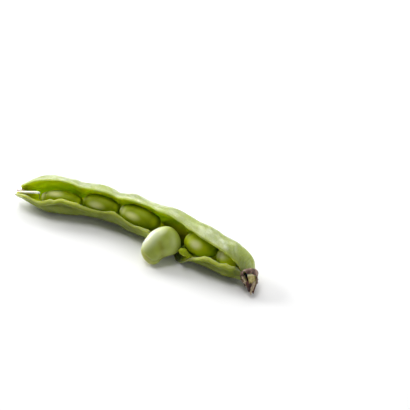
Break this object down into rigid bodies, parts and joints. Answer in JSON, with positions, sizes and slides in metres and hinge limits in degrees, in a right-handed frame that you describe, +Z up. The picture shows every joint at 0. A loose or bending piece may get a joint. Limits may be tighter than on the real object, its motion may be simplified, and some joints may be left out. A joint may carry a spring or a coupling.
{
  "type": "broad bean pod, split open",
  "caption": "Fresh broad bean pod lying split along its front seam, with plump beans in their beds, one rolled out, and the dried flower at the stalk.",
  "frame": {"origin": "on the plane the pod lies on, under the middle of the object's box", "axes": "+X along the pod from its tip to its stalk, +Y towards the back seam, away from the open side, +Z up"},
  "size_m": [0.159, 0.0374, 0.022],
  "materials": {
    "pod_skin": "satin green skin with a pale waxy bloom outside and a moist yellow-green lining",
    "bean_skin": "smooth pale green seed coat with a soft gloss",
    "thread": "matt white plant fibre",
    "dried_flower": "dry wrinkled purple-brown sepals",
    "stalk_flesh": "pale fibrous broken stalk"
  },
  "bodies": {
    "root": {"pod": "pod_skin", "bean_1": "bean_skin", "bean_2": "bean_skin", "bean_3": "bean_skin", "bean_4": "bean_skin", "bean_5": "bean_skin", "bean_6": "bean_skin", "seam_thread": "thread", "flower_cup": "dried_flower", "stalk": "stalk_flesh"}
  },
  "joints": []
}
